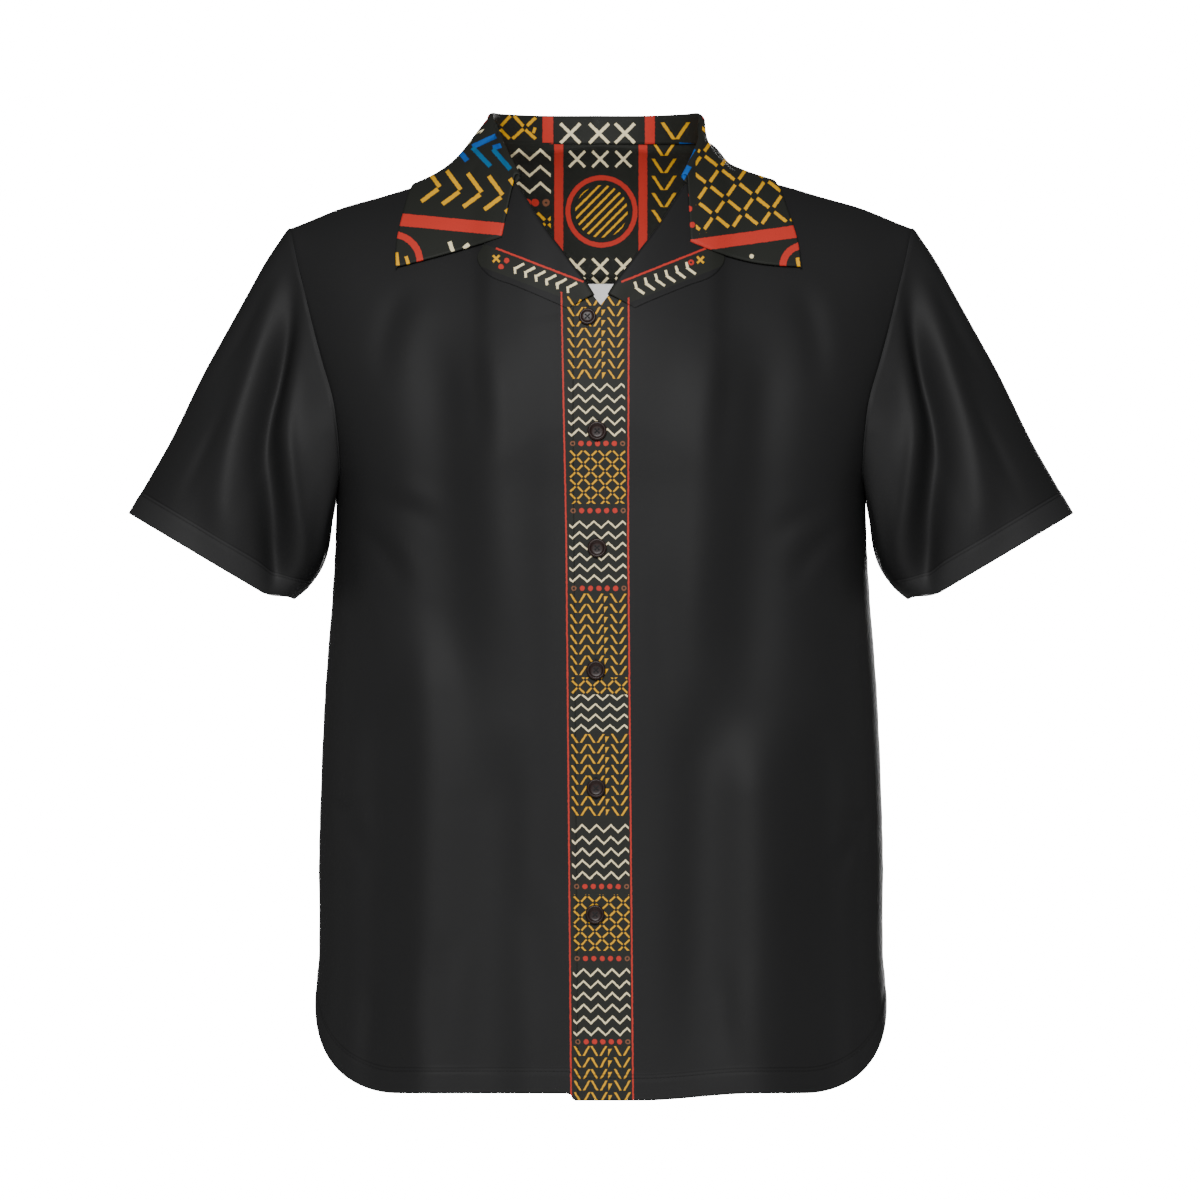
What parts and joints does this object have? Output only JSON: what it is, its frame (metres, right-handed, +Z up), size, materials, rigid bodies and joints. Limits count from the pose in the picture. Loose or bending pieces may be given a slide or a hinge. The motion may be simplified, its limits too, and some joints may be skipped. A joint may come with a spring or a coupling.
{
  "type": "hawaiian shirt",
  "caption": "Short-sleeved camp-collar shirt with printed bands, filled out as if worn, hollow, with open neck, cuffs and hem.",
  "frame": {"origin": "midway between the two neck points, at the height of the shoulder seams, where the shirt hangs on its wearer", "axes": "+Z up, -Y towards the buttoned front, +X towards the wearer's left sleeve"},
  "size_m": [0.738, 0.2654, 0.771],
  "materials": {
    "cloth": "smooth woven charcoal cotton blend with a faint sheen",
    "printed_cloth": "the same cloth, printed in red, yellow, cream and blue",
    "button": "polished dark brown"
  },
  "bodies": {
    "root": {"front_left": "cloth", "front_right": "cloth", "back": "cloth", "sleeve_left": "cloth", "sleeve_right": "cloth", "facing_left": "cloth", "facing_right": "cloth", "yoke_inner": "printed_cloth", "collar": "printed_cloth", "button_1": "button", "button_2": "button", "button_3": "button", "button_4": "button", "button_5": "button", "button_6": "button"}
  },
  "joints": []
}
